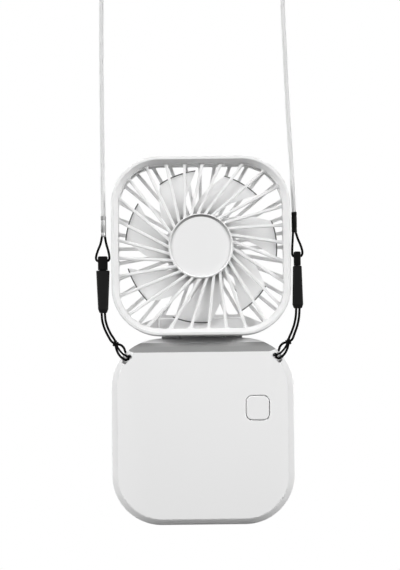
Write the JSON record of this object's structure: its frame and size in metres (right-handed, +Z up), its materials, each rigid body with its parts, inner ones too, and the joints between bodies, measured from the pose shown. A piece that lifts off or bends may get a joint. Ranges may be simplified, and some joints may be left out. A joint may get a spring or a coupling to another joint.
{
  "type": "foldable neck and hand fan",
  "caption": "Square folding fan: a swirl-grille head with a swept impeller hinged on a flat battery base with a power button, hung from a neck lanyard by detachable buckles.",
  "frame": {"origin": "underside of the neck lanyard at the top of its loop, where it rests on whatever holds it", "axes": "+Z up, the fan hangs below the origin; -Y is the front with the grille and the button; +X to the right seen from the front"},
  "size_m": [0.0986, 0.0236, 0.2958],
  "materials": {
    "white_shell": "satin white moulded shell",
    "blade_white": "thin off-white blades, smooth",
    "black_plastic": "satin black",
    "white_cord": "round woven cord",
    "black_cord": "thin braided cord",
    "grey_sleeve": "crimped sleeve, light satin",
    "black_sleeve": "black sleeve",
    "steel": "plain steel",
    "copper_windings": "enamelled copper windings",
    "bronze": "sintered bronze",
    "magnet": "ferrite ring",
    "board_green": "circuit board",
    "battery_foil": "pouch cell foil"
  },
  "bodies": {
    "lanyard": {"lanyard_cord": "white_cord", "ferrule_left": "grey_sleeve", "ferrule_right": "black_sleeve", "buckle_loop_left": "black_cord", "buckle_loop_right": "black_cord", "buckle_plug_left": "black_plastic", "buckle_plug_right": "black_plastic"},
    "base": {"base_front_cover": "white_shell", "base_rear_cover": "white_shell", "base_screw_1": "steel", "base_screw_2": "steel", "base_screw_3": "steel", "base_screw_4": "steel", "battery_cell": "battery_foil", "circuit_board": "board_green", "tactile_switch": "black_plastic", "usb_socket": "steel", "hinge_pin_left": "steel", "hinge_pin_right": "steel", "buckle_socket_left": "black_plastic", "buckle_socket_right": "black_plastic", "tether_cord_left": "black_cord", "tether_cord_right": "black_cord", "tether_knot_left": "black_cord", "tether_knot_right": "black_cord"},
    "button": {"power_button": "white_shell"},
    "head": {"head_front_frame": "white_shell", "head_front_grille": "white_shell", "hub_cap": "white_shell", "head_rear_frame": "white_shell", "head_rear_grille": "white_shell", "motor_mount": "white_shell", "motor_stator": "copper_windings", "motor_board": "board_green", "motor_bearing": "bronze", "motor_cable": "black_plastic", "friction_washer_left": "steel", "friction_washer_right": "steel"},
    "impeller": {"impeller": "blade_white", "rotor_magnet": "magnet", "motor_shaft": "steel"}
  },
  "joints": [
    {"name": "buckle_release", "type": "slide", "parent": "lanyard", "child": "base", "axis": [0, 0, -1], "range_m": [0, 0.012]},
    {"name": "head_fold", "type": "hinge", "parent": "base", "child": "head", "pos_m": [0, 0.0171, -0.2048], "axis": [1, 0, 0], "range_deg": [-180, 10]},
    {"name": "impeller_spin", "type": "hinge", "parent": "head", "child": "impeller", "pos_m": [0, 0.0026, -0.1618], "axis": [0, 1, 0], "continuous": true},
    {"name": "button_press", "type": "slide", "parent": "base", "child": "button", "axis": [0, 1, 0], "range_m": [0, 0.0006], "stiffness_N_per_m": 1500}
  ]
}
